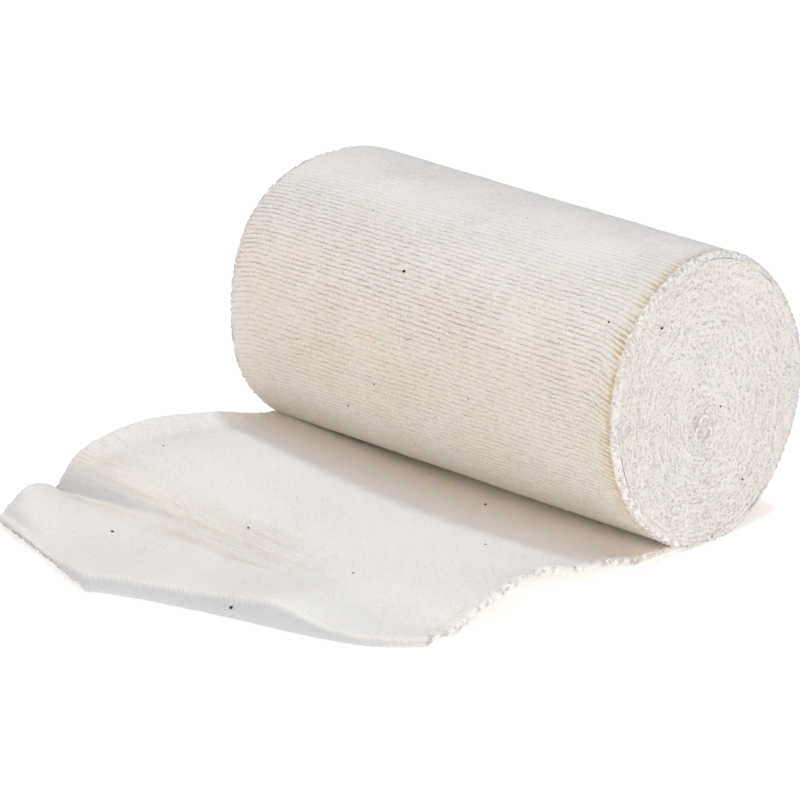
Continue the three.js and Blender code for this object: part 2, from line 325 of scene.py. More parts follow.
class NodeBench:
    """A new material on the bench: adds nodes to it and joins them up."""

    def __init__(self, name: str) -> None:
        """Starts a material of that name with its own shader."""
        self.material = bpy.data.materials.new(name)
        self.material.use_nodes = True
        self.nodes, self.links = self.material.node_tree.nodes, self.material.node_tree.links
        self.shader = self.nodes["Principled BSDF"]

    def set_shader(self, values: dict[str, object]) -> None:
        """Sets constant values on the shader's own sockets."""
        for name, value in values.items():
            self.shader.inputs[name].default_value = value

    def feed(self, socket: Socket, value: Socket | Colour | float) -> None:
        """Joins a socket to another, or sets it to a colour or a number."""
        if isinstance(value, Socket):
            self.links.new(value, socket)
        elif isinstance(value, tuple):
            socket.default_value = (*value, 1)
        else:
            socket.default_value = value

    def place(self) -> Socket:
        """Gives the place on the object."""
        return self.nodes.new("ShaderNodeTexCoord").outputs["Object"]

    def cloth_place(self) -> tuple[Socket, Socket]:
        """Gives the places along and across the cloth, in metres."""
        cloth, parts = self.nodes.new("ShaderNodeUVMap"), self.nodes.new("ShaderNodeSeparateXYZ")
        cloth.uv_map = "cloth"
        self.feed(parts.inputs[0], cloth.outputs["UV"])
        return parts.outputs["X"], parts.outputs["Y"]

    def kept(self, name: str) -> Socket:
        """Gives the number that the mesh keeps under that name."""
        node = self.nodes.new("ShaderNodeAttribute")
        node.attribute_name = name
        return node.outputs["Fac"]

    def math(self, kind: str, first: Socket | float, second: Socket | float = 0.0) -> Socket:
        """Adds a sum of that kind, and gives its result."""
        node = self.nodes.new("ShaderNodeMath")
        node.operation = kind
        self.feed(node.inputs[0], first)
        self.feed(node.inputs[1], second)
        return node.outputs[0]

    def times(self, first: Socket | float, second: Socket | float) -> Socket:
        """Multiplies two numbers."""
        return self.math("MULTIPLY", first, second)

    def plus(self, first: Socket | float, second: Socket | float) -> Socket:
        """Adds two numbers."""
        return self.math("ADD", first, second)

    def minus(self, first: Socket | float, second: Socket | float) -> Socket:
        """Takes the second number from the first."""
        return self.math("SUBTRACT", first, second)

    def ripple(self, at: Socket) -> Socket:
        """Gives a ripple that touches 0 at each whole half turn of the angle given."""
        return self.math("ABSOLUTE", self.math("SINE", at))

    def noise(self, source: Socket, size: float, detail: float) -> Socket:
        """Adds a noise whose grains have that size in metres, and gives its value."""
        node = self.nodes.new("ShaderNodeTexNoise")
        node.inputs["Scale"].default_value = 1 / size
        node.inputs["Detail"].default_value = detail
        self.feed(node.inputs["Vector"], source)
        return node.outputs["Fac"]

    def spread(self, across: Socket, along: Socket) -> Socket:
        """Adds a noise over two numbers, and gives its value."""
        pair = self.nodes.new("ShaderNodeCombineXYZ")
        self.feed(pair.inputs["X"], across)
        self.feed(pair.inputs["Y"], along)
        return self.noise(pair.outputs[0], 1.0, 1.0)

    def ramp(self, value: Socket, low: float, high: float) -> Socket:
        """Adds a smooth rise from 0 at low to 1 at high, or a fall where low is above high."""
        node = self.nodes.new("ShaderNodeMapRange")
        node.interpolation_type = "SMOOTHSTEP"
        self.feed(node.inputs["Value"], value)
        node.inputs["From Min"].default_value = min(low, high)
        node.inputs["From Max"].default_value = max(low, high)
        node.inputs["To Min"].default_value = float(low > high)
        node.inputs["To Max"].default_value = float(low < high)
        return node.outputs["Result"]

    def mix(self, share: Socket, first: Socket | Colour, second: Socket | Colour) -> Socket:
        """Mixes two colours by the share of the second."""
        node = self.nodes.new("ShaderNodeMix")
        node.data_type = "RGBA"
        self.feed(node.inputs["Factor"], share)
        self.feed(node.inputs["A"], first)
        self.feed(node.inputs["B"], second)
        return node.outputs["Result"]

    def bump(self, height: Socket, distance: float) -> Socket:
        """Turns heights, in units of a distance in metres, into a bump of the surface."""
        node = self.nodes.new("ShaderNodeBump")
        node.inputs["Strength"].default_value = 1.0
        node.inputs["Distance"].default_value = distance
        self.feed(node.inputs["Height"], height)
        return node.outputs["Normal"]


@dataclass(frozen=True)
class Weave:
    """What one cotton finish draws on the cloth, as sockets that run from 0 to 1."""

    cut: Socket
    pit: Socket
    fine: Socket
    speck: Socket
    clumps: Socket


@dataclass(frozen=True)
class CottonFinish:
    """Unbleached cotton: cream ridges, tan painted shade in the grooves, a fine weave and a soft nap. Sizes
    are in metres.
    """

    name: str
    ridge: Colour = (0.915, 0.885, 0.845)
    # The groove colour is the tan painted shade of the grooves; the shade colour paints the crimp lines and
    # pits darker as shade, and the grain and specks too
    groove: Colour = (0.66, 0.50, 0.29)
    shade: Colour = (0.55, 0.45, 0.34)
    # A cool grey painted as shade on the front of the last fold, which faces away from the light
    brushed_and_front_shade: Colour = (0.59, 0.605, 0.62)
    all_over: float = 0.06
    line_pitch: float = 0.00098
    line_width: float = 0.6
    # How strongly the crimp lines are painted darker as shade
    line_shade: float = 0.48
    line_depth: float = 0.00017
    line_wander: float = 0.6
    dash_length: float = 0.0023
    bead_pitch: float = 0.00074
    # How strongly the pits between the yarns are painted darker as shade
    pit_shade: float = 0.3
    bead_depth: float = 0.00012
    grain_pitch: float = 0.00034
    grain_depth: float = 0.00016
    grain_tint: float = 0.42
    worn_grain: float = 1.5
    speck_pitch: float = 0.00042
    speck_tint: float = 0.0
    clump_pitch: float = 0.0015
    clump_tone: float = 0.2
    patch_pitch: float = 0.011
    patch_tone: float = 0.3
    bump_unit: float = 1e-4
    roughness: float = 0.92
    sheen: float = 0.2

    def build(self) -> bpy.types.Material:
        """Makes the material, which reads the relief kept on the mesh and its cloth map."""
        bench = NodeBench(self.name)
        bench.set_shader(
            {
                "Roughness": self.roughness,
                "Specular IOR Level": 0.25,
                "Sheen Weight": self.sheen,
                "Sheen Roughness": 0.5,
                "Subsurface Weight": 0.3,
                "Subsurface Radius": (1.0, 0.72, 0.5),
                "Subsurface Scale": 0.0012,
            }
        )
        weave = self.draw_weave(bench)
        bench.feed(bench.shader.inputs["Base Color"], self.colour(bench, weave))
        bench.feed(bench.shader.inputs["Normal"], bench.bump(self.height(bench, weave), self.bump_unit))
        return bench.material

    def draw_weave(self, bench: NodeBench) -> Weave:
        """Draws the broken lines of the crimp and the pits between the yarns, which take painted shade and a
        bump, and the grain and the specks.

        Args:
            bench: the material's bench.

        Returns:
            The sockets that say how strong each of them is.
        """
        place, worn = bench.place(), bench.kept("crimp")
        along, across = bench.cloth_place()
        clumps = bench.noise(place, self.clump_pitch, 2.0)

        line_at = bench.times(along, 1 / self.line_pitch)
        column = bench.math("FLOOR", bench.times(across, 1 / self.bead_pitch))
        step = bench.spread(bench.times(line_at, 0.7), bench.times(column, 1.31))
        line_at = bench.plus(line_at, bench.times(bench.minus(step, 0.5), self.line_wander))
        line = bench.ramp(bench.ripple(bench.times(line_at, math.pi)), self.line_width, 0.0)
        reach = bench.times(across, 1 / self.dash_length)
        dashes = bench.ramp(bench.spread(bench.times(line_at, 1.3), reach), 0.36, 0.62)
        dashes = bench.plus(bench.times(dashes, 0.7), 0.3)

        every_other = bench.times(bench.math("FLOOR", line_at), math.pi / 2)
        bead_at = bench.plus(bench.times(across, math.pi / self.bead_pitch), every_other)
        pit = bench.ramp(bench.ripple(bead_at), 0.55, 0.0)
        rough = bench.plus(bench.times(worn, self.worn_grain), 1.0)
        grain = bench.minus(bench.noise(place, self.grain_pitch, 2.0), 0.5)
        return Weave(
            cut=bench.times(bench.times(line, dashes), worn),
            pit=bench.times(bench.times(pit, clumps), worn),
            fine=bench.times(grain, rough),
            speck=bench.ramp(bench.noise(place, self.speck_pitch, 1.0), 0.54, 0.68),
            clumps=clumps,
        )

    def colour(self, bench: NodeBench, weave: Weave) -> Socket:
        """Mixes the colour: tan painted shade in the grooves, cream on the ridges, painted shade in the crimp
        lines and pits, darker grain and specks, and a cool grey painted shade on the front of the last fold.

        Args:
            bench: the material's bench.
            weave: what is drawn on the cloth.

        Returns:
            The colour.
        """
        patches = bench.noise(bench.place(), self.patch_pitch, 2.0)
        level = bench.plus(bench.kept("relief"), bench.times(bench.minus(weave.clumps, 0.5), self.clump_tone))
        level = bench.plus(level, bench.times(bench.minus(patches, 0.5), self.patch_tone))
        dark = bench.plus(bench.times(weave.cut, self.line_shade), bench.times(weave.pit, self.pit_shade))
        dark = bench.minus(bench.plus(dark, self.all_over), bench.times(weave.fine, self.grain_tint))
        dark = bench.plus(dark, bench.times(weave.speck, self.speck_tint))
        # The grooves are painted tan as shade by the depth kept as relief, with random clumps and patches,
        # and the crimp lines and pits are painted darker as shade
        shaded = bench.mix(dark, bench.mix(level, self.groove, self.ridge), self.shade)
        # The front of the last fold takes a cool grey painted shade
        return bench.mix(bench.kept("brushed_and_front_shade"), shaded, self.brushed_and_front_shade)

    def height(self, bench: NodeBench, weave: Weave) -> Socket:
        """Sums the small heights of the weave.

        Args:
            bench: the material's bench.
            weave: what is drawn on the cloth.

        Returns:
            The height in bump units.
        """
        height = bench.times(weave.fine, self.grain_depth / self.bump_unit)
        height = bench.minus(height, bench.times(weave.cut, self.line_depth / self.bump_unit))
        height = bench.minus(height, bench.times(weave.pit, self.bead_depth / self.bump_unit))
        return bench.minus(height, bench.times(weave.speck, self.speck_tint * 2))


@dataclass(frozen=True)
class PlainFinish:
    """A plain finish with a little unevenness, for the seed flecks and the floor."""

    name: str
    colour: Colour
    uneven: float
    grain: float
    roughness: float = 0.9
    glow: float = 0.0

    def build(self) -> bpy.types.Material:
        """Makes the material, a touch lighter and darker by patches."""
        bench = NodeBench(self.name)
        bench.set_shader(
            {
                "Roughness": self.roughness,
                "Specular IOR Level": 0.2,
                "Emission Color": (1.0, 1.0, 1.0, 1.0),
                "Emission Strength": self.glow,
            }
        )
        darker = tuple(c * (1 - self.uneven) for c in self.colour)
        lighter = tuple(min(c * (1 + self.uneven), 1) for c in self.colour)
        tone = bench.mix(bench.noise(bench.place(), self.grain, 2.0), darker, lighter)
        bench.feed(bench.shader.inputs["Base Color"], tone)
        return bench.material


@dataclass(frozen=True)
class Outline:
    """Half sizes of the roll at one end, the place of its middle, and how square it is (2 is round)."""

    depth: float
    height: float
    middle_y: float
    middle_z: float
    square: float


@dataclass
class WoundRoll:
    """The wound part of the bandage: its outer turn and the edges of its turns at both ends."""

    far: Outline = Outline(depth=27.4, height=27.1, middle_y=0.1, middle_z=27.6, square=2.25)
    near: Outline = Outline(depth=27.3, height=28.1, middle_y=0.4, middle_z=27.6, square=1.92)
    half_length: float = HALF_WIDTH + 0.3
    heart_y: float = -2.0
    heart_z: float = 23.1
    heart_reach: float = 6.0
    turns: int = 25
    turns_shown: int = 23

    # Soft swellings round the roll: how many, their height, where they start and how they drift along it
    swellings: tuple[tuple[int, float, float, float], ...] = (
        (3, 0.16, 0.6, 0.012),
        (5, 0.1, 2.1, -0.02),
    )
    lean_across: float = -0.035
    lean_up: float = -0.05
    lean_power: int = 4

    ribs: int = 176
    rows_to_rib: int = 3
    rib_depth: float = 0.2
    edge_rib_depth: float = 0.42
    rib_wander: float = 0.13
    far_round: float = 2.7
    near_round: float = 1.15
    rim_shoulder: float = 0.1
    rim_width: float = 1.35
    rim_bulge: float = 0.14
    neck_depth: float = 0.22
    # How strongly the neck is painted darker as shade
    neck_shade: float = 0.48
    bristle_length: float = 5.5
    column_step: float = 0.62
    # Steps of the side's mesh in from each end, fine at the rim and wider further in
    edge_steps: tuple[float, ...] = (
        0.06, 0.16, 0.3, 0.5, 0.8, 1.15, 1.55,
        2.0, 2.5, 3.05, 3.65, 4.3, 5.0, 5.8,
    )

    sectors: int = 300
    uneven: float = 0.08

    # Section of one turn on the end face: share of its thickness, and how far in it lies
    across_turn: tuple[tuple[float, float], ...] = (
        (0.0, 0.03),
        (0.14, 0.01),
        (0.5, 0.0),
        (0.86, 0.01),
        (1.0, 0.03),
    )
    # Where a gap opens between turns: turn, degrees round from the bottom, spread in degrees and how wide
    gap_places: tuple[tuple[float, float, float, float], ...] = (
        (1, 192, 16, 0.9),
        (1, 112, 18, 0.45),
        (1, 14, 16, 0.7),
        (20, 140, 9, 0.9),
        (23, 262, 30, 1.1),
    )

    loop_spacing: float = 0.4
    loop_radius: float = 0.2
    loop_wire: float = 0.105
    rim_loops_to_rib: int = 5
    rim_loop_radius: float = 0.3
    rim_loop_wire: float = 0.12
    curl_radius: float = 1.25
    curl_wire: float = 0.33

    # Curls at the heart: places along Y and Z, turn in degrees and size
    heart_curls: tuple[tuple[float, float, float, float], ...] = (
        (-1.2, 23.6, 20, 1.15),
        (-2.6, 21.9, 105, 1.0),
        (-0.4, 21.6, -50, 0.8),
        (0.4, 25.4, 60, 0.7),
    )

    rounds: Array = field(default=None, repr=False)
    lengths: Array = field(default=None, repr=False)

    def __post_init__(self) -> None:
        """Measures the way round the roll, so that the ribs stand evenly."""
        self.rounds = np.linspace(-math.pi / 2, 1.5 * math.pi, 4001)
        y, z = self.outline(self.rounds, np.zeros(4001), np.zeros(4001))
        self.lengths = np.concatenate([[0.0], np.cumsum(np.hypot(np.diff(y), np.diff(z)))])

    @property
    def girth(self) -> float:
        """The way once round the roll."""
        return float(self.lengths[-1])

    @property
    def rib_pitch(self) -> float:
        """The way from one rib to the next."""
        return self.girth / self.ribs

    def angle_at(self, length: Array) -> Array:
        """Finds the angle at a way round from the bottom towards +Y."""
        return np.interp(length, self.lengths, self.rounds)

    def outline(self, angle: Array, x: Array, inset: Array) -> tuple[Array, Array]:
        """Follows the roll's outline in a section across it.

        Args:
            angle: from 0 at +Y, with a quarter turn pointing up, and -90 degrees at the bottom.
            x: the place along the roll.
            inset: how far in from the full size.

        Returns:
            The places along Y and Z.
        """
        share = (x + HALF_WIDTH) / CLOTH_WIDTH

        def size(name: str) -> Array:
            """Reads one of the sizes at the places along the roll."""
            return getattr(self.far, name) + (getattr(self.near, name) - getattr(self.far, name)) * share

        stand = -inset
        for count, height, start, drift in self.swellings:
            stand = stand + height * np.sin(count * angle + start + drift * x)
        power = 2 / size("square")
        bend_y = np.sign(np.cos(angle)) * np.abs(np.cos(angle)) ** power
        bend_z = np.sign(np.sin(angle)) * np.abs(np.sin(angle)) ** power
        y = size("middle_y") + (size("depth") + stand) * bend_y
        z = size("middle_z") + (size("height") + stand) * bend_z
        return y, np.maximum(z, self.floor_at(angle))

    def floor_at(self, angle: Array) -> Array:
        """Says how high the roll's lowest line lies: on the surface behind, on its own cloth in front."""
        behind = self.heart_z / self.turns
        half_turns = angle / math.pi
        front = smooth_step(1, 1.3, half_turns) * (1 - smooth_step(1.47, 1.5, half_turns))
        return 0.06 + front * behind

    def lean(self, x: Array, y: Array, z: Array) -> Array:
        """Says how far a point near the near end is carried along X by the lean of that face."""
        share = (np.maximum(x, 0) / HALF_WIDTH) ** self.lean_power
        return share * (self.lean_across * y + self.lean_up * (z - self.near.middle_z))

    def outwards(self, y: Array, z: Array) -> Array:
        """Gives the ways from the roll's middle out to points on its side, one row each."""
        return unit(np.stack([np.zeros(len(y)), y - self.near.middle_y, z - self.near.middle_z], axis=1))

    def rim_inset(self, x: Array) -> Array:
        """Says how far the surface draws in at a place along the roll, for its rounded rims."""
        past = self.half_length - np.abs(x)
        corner = np.where(x > 0, self.near_round, self.far_round)
        near_rim = np.clip(1 - past / corner, 0, 1)
        return corner * (1 - np.sqrt(1 - near_rim**2)) + self.rim_shoulder * np.exp(-past / 1.2)

    def build_side(self, finish: bpy.types.Material) -> bpy.types.Object:
        """Builds the outer turn as a closed tube with every rib of its crimp standing.

        Args:
            finish: the cotton of the cloth's face.

        Returns:
            The piece.
        """
        columns = graded(-self.half_length, self.half_length, self.column_step, self.edge_steps)
        count = self.ribs * self.rows_to_rib
        form = flat_grid(len(columns) - 1, count)
        mesh = mesh_of("roll_side", form)
        flat = read_places(mesh)
        column = np.rint(flat[:, 0] * (len(columns) - 1)).astype(int)
        row = np.rint(flat[:, 1] * count).astype(int)
        x, rib = columns[column], row / self.rows_to_rib
        past = self.half_length - np.abs(x)

        # Each rib wanders a little, and all of them sweep round near the ends of the roll
        wander = Waves(11).at(x / 9, rib / 2.3) + 0.6 * Waves(12).at(x / 2.1, rib / 1.2)
        ends = smooth_step(10, 0, past)
        sweep = 1.5 * ends**2 * np.sin(np.clip(rib / self.ribs, 0, 1) * FULL_TURN)
        at_seam = np.minimum(rib, self.ribs - rib)
        length = (rib + self.rib_wander * wander * smooth_step(0, 3, at_seam)) * self.rib_pitch - sweep
        angle = self.angle_at(np.clip(length, 0, self.girth))

        # The grooves between the ribs are broken along the roll, and deeper in the bristles by the near rim
        groove = np.rint(rib)
        at_near = np.where(x > 0, 1.0, 0.0)
        white_rim = smooth_step(self.rim_width + 0.35, self.rim_width - 0.25, past)
        bristles = at_near * smooth_step(self.bristle_length, 1.6, past) * (1 - white_rim)
        depth = self.rib_depth + (self.edge_rib_depth - self.rib_depth) * bristles
        broken = 0.65 + 0.5 * Waves(13).at(x / 1.7, groove * 7.31)
        broken = broken + 0.35 * Waves(14).at(x / 11, groove * 3.17)
        phase = np.abs(np.sin(math.pi * rib)) ** 0.7
        crest = 0.05 * Waves(15).at(x / 1.3, rib * 1.1) + 0.06 * Waves(16).at(x / 7, rib / 4)
        dip = depth * np.clip(broken, 0.1, 1.3) * (1 - phase) * (1 - 0.85 * white_rim)

        # A narrow neck sets the rounded white rim apart
        neck = at_near * hump(past, self.rim_width + 0.35, 0.4)
        neck = neck * np.clip(0.6 + 0.9 * Waves(18).at(x * 0, rib / 1.3), 0, 1.3)
        bulge = at_near * self.rim_bulge * hump(past, 0.7, 0.5)
        stand = crest - dip + 0.1 * Waves(17).at(x / 18, rib / 14) + bulge - self.neck_depth * neck

        y, z = self.outline(angle, x, self.rim_inset(x) - stand)
        places = np.stack([x + self.lean(x, y, z), y, z], axis=1) * MM
        set_places(mesh, places)

        # Shade is painted darker into the grooves of the crimp, the neck and the bristles by their depth, and
        # a little over the roll away from its top; the crimp lines are drawn fainter on top of the roll
        on_top = hump(np.degrees(angle), 98, 32)
        painted_shade = dip * (0.6 + 2.5 * bristles) + self.neck_shade * neck + 0.14 * bristles
        painted_shade = painted_shade + 0.085 * (1 - on_top)
        set_shade(mesh, "relief", np.clip(1.03 - painted_shade, 0, 1.1))
        faint_on_top = 0.72 * on_top * (1 + 0.4 * Waves(20).at(x / 14, rib / 8))
        clear = (1 - 0.8 * white_rim) * (1 - 0.35 * bristles) * (1 + 0.25 * Waves(19).at(x / 12, rib / 9))
        set_shade(mesh, "crimp", clear * np.clip(1 - faint_on_top, 0, 1))
        set_cloth_map(mesh, rib * self.rib_pitch, x + HALF_WIDTH)
        merge_seam(mesh, (row == 0) | (row == count))
        return show(mesh, finish, stands_for=True)

    def share_at(self, turn: Array, angle: Array) -> Array:
        """Says how far out from the heart the outer side of a turn lies, as a share of the outline.

        Args:
            turn: whole turns inwards from the outermost, 0 at the outside.
            angle: the angle round the roll.

        Returns:
            The share, 1 at the outline.
        """
        gone = (angle + math.pi / 2) / FULL_TURN
        return 1 - turn / (self.turns - gone)

    def end_place(self, end: End, turn: Array, angle: Array, depth: Array) -> Array:
        """Places points on one end face.

        Args:
            end: which end of the roll.
            turn: turns inwards from the outermost, 0 at the outside.
            angle: the angle round the roll.
            depth: how far in from the end, along the roll.

        Returns:
            The points, one row each, in millimetres.
        """
        side = end.value
        x_full = np.full_like(angle, side * self.half_length)
        outer_y, outer_z = self.outline(angle, x_full, self.rim_inset(x_full))
        share = np.maximum(self.share_at(turn, angle), 0.0)
        y = self.heart_y + (outer_y - self.heart_y) * share
        z = self.heart_z + (outer_z - self.heart_z) * share
        x = side * (self.half_length - depth)
        return np.stack([x + self.lean(x, y, z), y, z], axis=1)

    def end_depth(self, end: End, turn: Array, angle: Array) -> Array:
        """Says how unevenly the turns end: how far the crest of a turn lies in from the end."""
        waves = Waves(31 if end is End.NEAR else 41)
        wound = turn + (angle + math.pi / 2) / FULL_TURN
        radius = 26 * (1 - wound / self.turns)
        slow = waves.at(angle * 2.2, turn * 9.7)
        quick = waves.at(angle * radius / 2.5 + 90, turn * 5.3)
        return self.uneven * np.clip(wound, 0, 1) * (1 + slow + 0.5 * quick)

    def build_end(self, end: End, finish: bpy.types.Material) -> bpy.types.Object:
        """Builds one end face as the edge of the cloth, wound from the rim in to the heart.

        Args:
            end: which end of the roll.
            finish: the cotton of the selvedge.

        Returns:
            The piece.
        """
        around, across = self.turns_shown * self.sectors, len(self.across_turn) - 1
        mesh = mesh_of(f"{end.label}_end", flat_grid(around, across))
        flat = read_places(mesh)
        step = np.rint(flat[:, 0] * around).astype(int)
        level = np.rint(flat[:, 1] * across).astype(int)
        whole = np.minimum(step // self.sectors, self.turns_shown - 1)
        length = (step - whole * self.sectors) / self.sectors * self.girth
        angle = self.angle_at(length)

        share, dip = np.array(self.across_turn)[level].T
        turn = whole + share
        boundary = np.rint(turn + np.where(step - whole * self.sectors == self.sectors, 1, 0))

        # Gaps open between turns in the places given, and the innermost turns sink in at the heart
        at_gap = (level == 0) | (level == across)
        gap = np.ones(len(step)) + 0.5 * Waves(33).at(angle * 6, boundary * 5.9)
        degrees = np.degrees(angle) + 90
        for number, middle, spread, more in self.gap_places:
            gap = gap + 5 * more * hump(degrees, middle, spread) * (np.abs(turn - number) < 0.3)
        heart = smooth_step(self.turns_shown - 3.0, self.turns_shown, turn)
        wound = turn + degrees / 360
        depth = np.where(
            at_gap,
            dip * gap * smooth_step(0.0, 1.0, wound) + 0.1,
            dip + self.end_depth(end, whole.astype(float), angle),
        )
        depth = depth * smooth_step(0, 0.5, turn) + 0.25 * heart
        set_places(mesh, self.end_place(end, turn, angle, depth) * MM)
        # The gaps between the turns are painted darker as shade, the open ones most
        open_gap = at_gap * smooth_step(0, 0.5, turn) * smooth_step(0.25, 0.9, depth)
        set_shade(mesh, "relief", np.clip(1.0 - 0.9 * open_gap - 0.06 * at_gap, 0, 1))
        set_cloth_map(mesh, length % 20, share * 10)
        merge_seam(mesh, at_gap | (step % self.sectors == 0))

        self.close_heart(mesh, end)
        return show(mesh, finish)

    def close_heart(self, mesh: bpy.types.Mesh, end: End) -> None:
        """Closes the small hole inside the innermost turn and turns the faces outwards.

        Args:
            mesh: the mesh of an end face.
            end: which end of the roll.
        """
        form = bmesh.new()
        form.from_mesh(mesh)
        heart = Vector((self.heart_y, self.heart_z))
        rims = [edge for edge in form.edges if edge.is_boundary]
        inner = [edge for edge in rims if (edge.verts[0].co.yz / MM - heart).length < self.heart_reach]
        bmesh.ops.contextual_create(form, geom=inner)
        bmesh.ops.recalc_face_normals(form, faces=form.faces[:])
        facing = sum(f.normal.x * f.calc_area() for f in form.faces)
        if facing * end.value < 0:
            bmesh.ops.reverse_faces(form, faces=form.faces[:])
        form.to_mesh(mesh)
        form.free()

    def build_loops(self, end: End, finish: bpy.types.Material) -> bpy.types.Object:
        """Strews the small yarn loops of the selvedge along every turn of one end face.

        Args:
            end: which end of the roll.
            finish: the cotton of the selvedge.

        Returns:
            The piece.
        """
        chance = np.random.default_rng(51 if end is End.NEAR else 61)
        turns, lengths = [], []
        for turn in range(self.turns_shown):
            share = float(self.share_at(np.array(turn + 0.5), np.array(math.pi / 2)))
            count = max(int(self.girth * share / self.loop_spacing), 4)
            turns.append(np.full(count, float(turn)))
            lengths.append((np.arange(count) + chance.uniform(-0.35, 0.35, count)) / count * self.girth)
        turn, length = np.concatenate(turns), np.concatenate(lengths) % self.girth
        count = len(turn)
        angle = self.angle_at(length)
        share = np.where(turn > 0, chance.uniform(-0.35, 1.35, count), chance.uniform(0.05, 1.0, count))
        depth = self.end_depth(end, turn, angle) + chance.uniform(0.0, 0.2, count)
        here = self.end_place(end, turn + share, angle, depth)
        on = self.end_place(end, turn + share, self.angle_at((length + 0.3) % self.girth), depth)
        along = unit((on - here) * [0.0, 1.0, 1.0])
        out = unit(end.way(count) + chance.normal(0, 0.45, (count, 3)))
        turned = chance.uniform(-math.pi, math.pi, count)
        side = np.cross(out, along)
        along = along * np.cos(turned)[:, None] + side * np.sin(turned)[:, None]
        side = np.cross(out, along)
        scale = chance.uniform(0.75, 1.25, count)[:, None]
        axes = np.stack([along * scale, side * scale, out * scale * 0.8], axis=1)
        form = arch(self.loop_radius, self.loop_wire)
        mesh = strew(f"{end.label}_end_loops", form, here, axes, chance.uniform(0.83, 1.06, count))
        return show(mesh, finish)

    def build_rim_loops(self, end: End, finish: bpy.types.Material) -> bpy.types.Object:
        """Sets the larger loops of the outer turn's selvedge along one rim, a few to each rib.

        Args:
            end: which end of the roll.
            finish: the cotton of the selvedge.

        Returns:
            The piece.
        """
        chance = np.random.default_rng(71 if end is End.NEAR else 81)
        count = self.ribs * self.rim_loops_to_rib
        length = (np.arange(count) + 0.5 + chance.uniform(-0.4, 0.4, count)) / count * self.girth
        angle, side = self.angle_at(length), end.value
        past = chance.uniform(0.02, 1.25, count)
        x = side * (self.half_length - past)
        y, z = self.outline(angle, x, self.rim_inset(x) + 0.06)
        here = np.stack([x + self.lean(x, y, z), y, z], axis=1)
        outwards, endwards = self.outwards(y, z), end.way(count)
        faced = (np.clip(1 - past / 1.2, 0, 1) * math.pi / 2)[:, None]
        out = unit(outwards * np.cos(faced) + endwards * np.sin(faced) + chance.normal(0, 0.3, (count, 3)))
        over = endwards - outwards + chance.normal(0, 0.8, (count, 3))
        across = unit(np.cross(out, over))
        over = np.cross(across, out)
        scale = chance.uniform(0.75, 1.25, count)[:, None]
        axes = np.stack([over * scale, across * scale, out * scale * 0.8], axis=1)
        form = arch(self.rim_loop_radius, self.rim_loop_wire)
        mesh = strew(f"{end.label}_rim_loops", form, here, axes, chance.uniform(0.85, 1.1, count))
        return show(mesh, finish)

    def build_heart(self, finish: bpy.types.Material) -> bpy.types.Object:
        """Curls the cloth's first fold at the heart of the near end, as thick bent cords that lie on it.

        Args:
            finish: the cotton of the selvedge.

        Returns:
            The piece.
        """
        curls = np.array(self.heart_curls)
        y, z, degrees, size = curls[:, 0], curls[:, 1], np.radians(curls[:, 2]), curls[:, 3][:, None]
        x = np.full(len(curls), self.half_length - 0.12)
        here = np.stack([x + self.lean(x, y, z), y, z], axis=1)
        nought = np.zeros(len(curls))
        along = np.stack([nought, np.cos(degrees), np.sin(degrees)], axis=1)
        over = np.stack([nought, -np.sin(degrees), np.cos(degrees)], axis=1)
        axes = np.stack([along * size, np.tile([1.0, 0.0, 0.0], (len(curls), 1)), over * size], axis=1)
        form = arch(self.curl_radius, self.curl_wire, 150, 10, sides=8)
        mesh = strew("near_heart_curl", form, here, axes, np.full(len(curls), 1.0))
        return show(mesh, finish)


@dataclass(frozen=True)
class Section:
    """A section across the loose end.

    It holds where the section meets the far and the near selvedge along Y, how far it leads at its point,
    and how high the underside lies at each of the places along X. Sizes are millimetres.
    """

    far_y: float
    near_y: float
    lead: float
    under: tuple[float, ...] = ()


